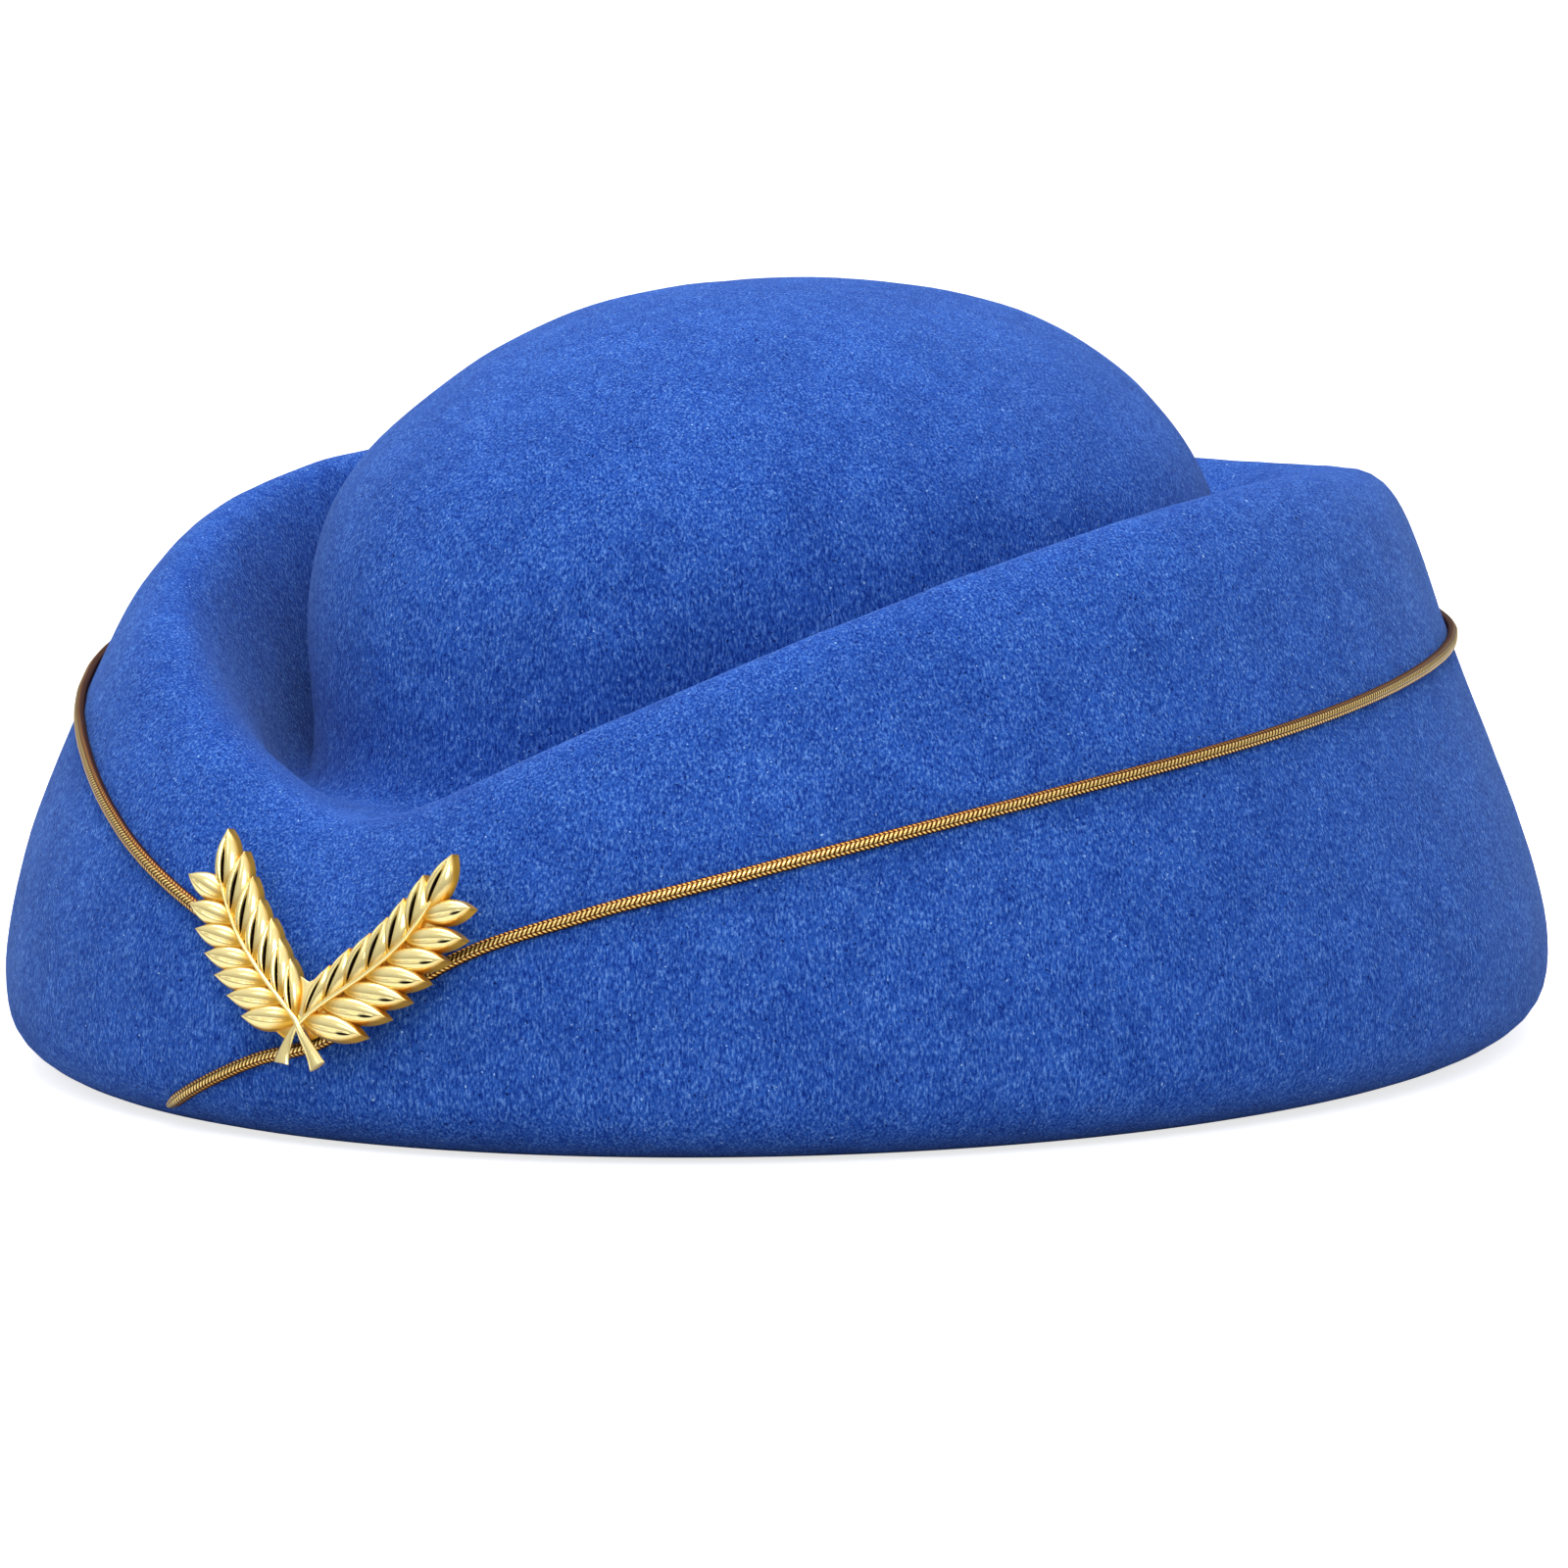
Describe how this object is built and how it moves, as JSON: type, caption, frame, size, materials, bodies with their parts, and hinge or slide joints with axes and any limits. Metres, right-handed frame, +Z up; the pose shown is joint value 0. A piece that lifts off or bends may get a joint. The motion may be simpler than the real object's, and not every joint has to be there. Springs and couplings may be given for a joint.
{
  "type": "flight attendant hat",
  "caption": "Felt uniform hat with an oval crown, a wide turned-up cuff that dips at the front, a gold braided cord laid round it and a gold laurel badge.",
  "frame": {"origin": "on the resting plane under the middle of the hat's outline, badge included", "axes": "+Z up, the front of the hat faces -Y, +X is the wearer's left"},
  "size_m": [0.2368, 0.2724, 0.1222],
  "materials": {
    "felt": "matte short-napped wool felt, cornflower blue",
    "gold_cord": "braided metallic gold thread with darker edges",
    "badge_metal": "polished pale gold plated casting"
  },
  "bodies": {
    "root": {"felt_body": "felt", "braided_cord": "gold_cord", "laurel_badge": "badge_metal"}
  },
  "joints": []
}
